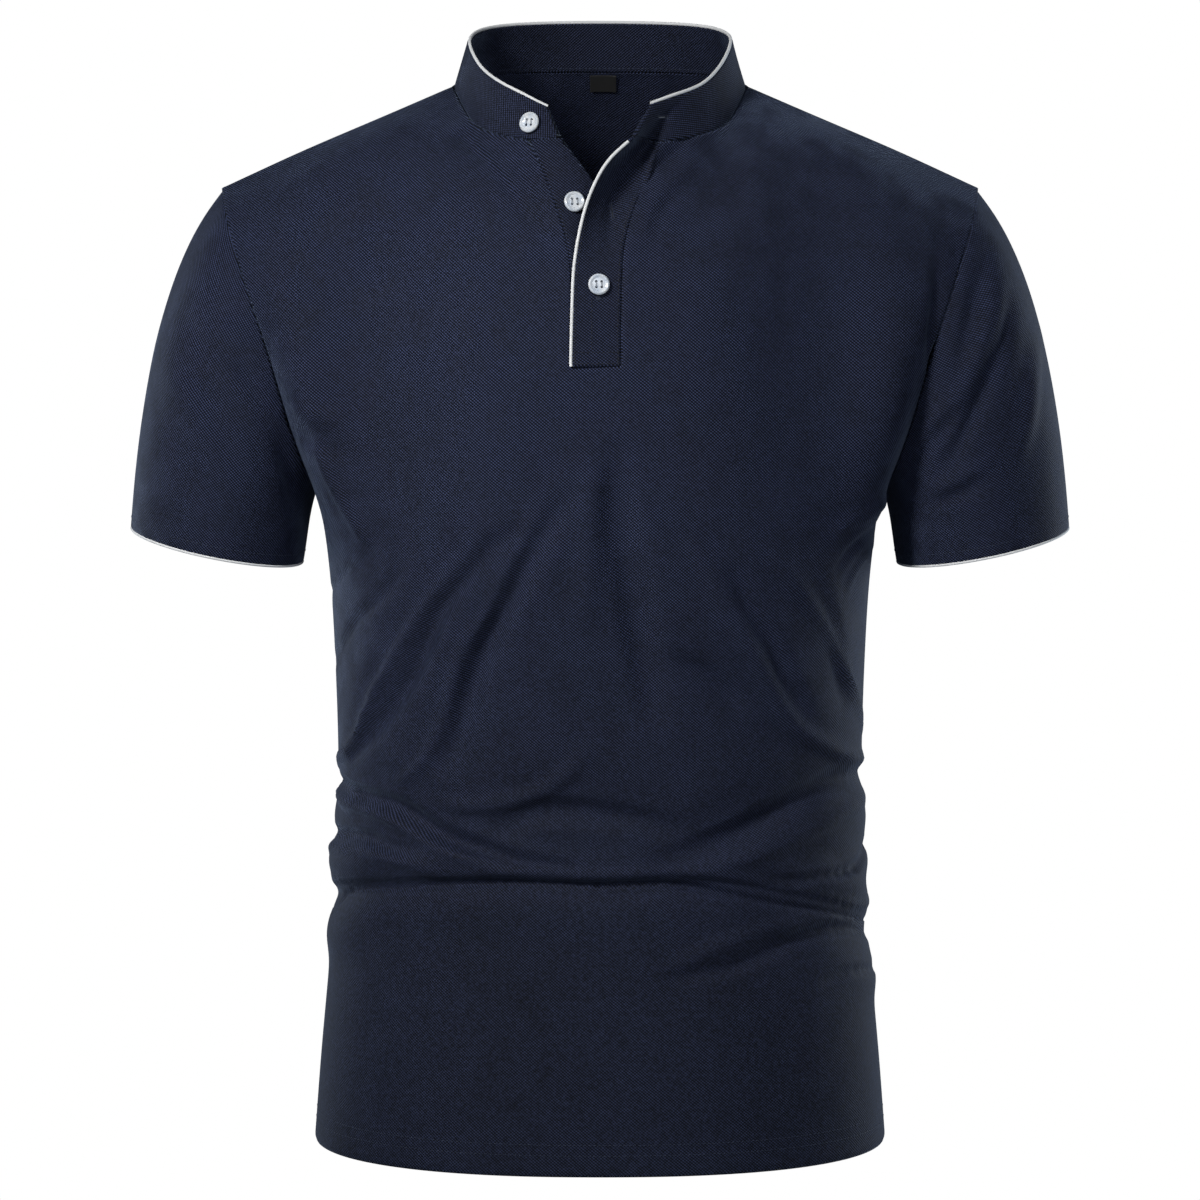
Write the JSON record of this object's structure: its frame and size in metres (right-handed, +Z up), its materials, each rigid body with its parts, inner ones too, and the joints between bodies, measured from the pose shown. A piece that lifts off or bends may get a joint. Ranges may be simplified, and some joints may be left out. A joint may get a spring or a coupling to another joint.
{
  "type": "polo shirt",
  "caption": "Short-sleeved navy knit polo shirt with a white-piped band collar and a partly open buttoned placket, filled out as if worn.",
  "frame": {"origin": "midway between the two high points of the shoulders, where the wearer's neck carries the shirt, at mid-depth", "axes": "+Z up along the wearer, -Y towards the front of the shirt, -X towards the wearer's right sleeve"},
  "size_m": [0.5806, 0.2458, 0.6945],
  "materials": {
    "navy_knit": "matte navy knit with a soft sheen",
    "white_piping": "white cotton piping",
    "button_resin": "white resin with a pearl gloss",
    "label_tape": "black woven tape, bare"
  },
  "bodies": {
    "root": {"front": "navy_knit", "back": "navy_knit", "sleeve_right": "navy_knit", "sleeve_left": "navy_knit", "collar_band": "navy_knit", "placket_over": "navy_knit", "placket_under": "navy_knit", "collar_piping": "white_piping", "placket_piping": "white_piping", "cuff_piping_right": "white_piping", "cuff_piping_left": "white_piping", "button_1": "button_resin", "button_2": "button_resin", "button_3": "button_resin", "neck_label": "label_tape"}
  },
  "joints": []
}
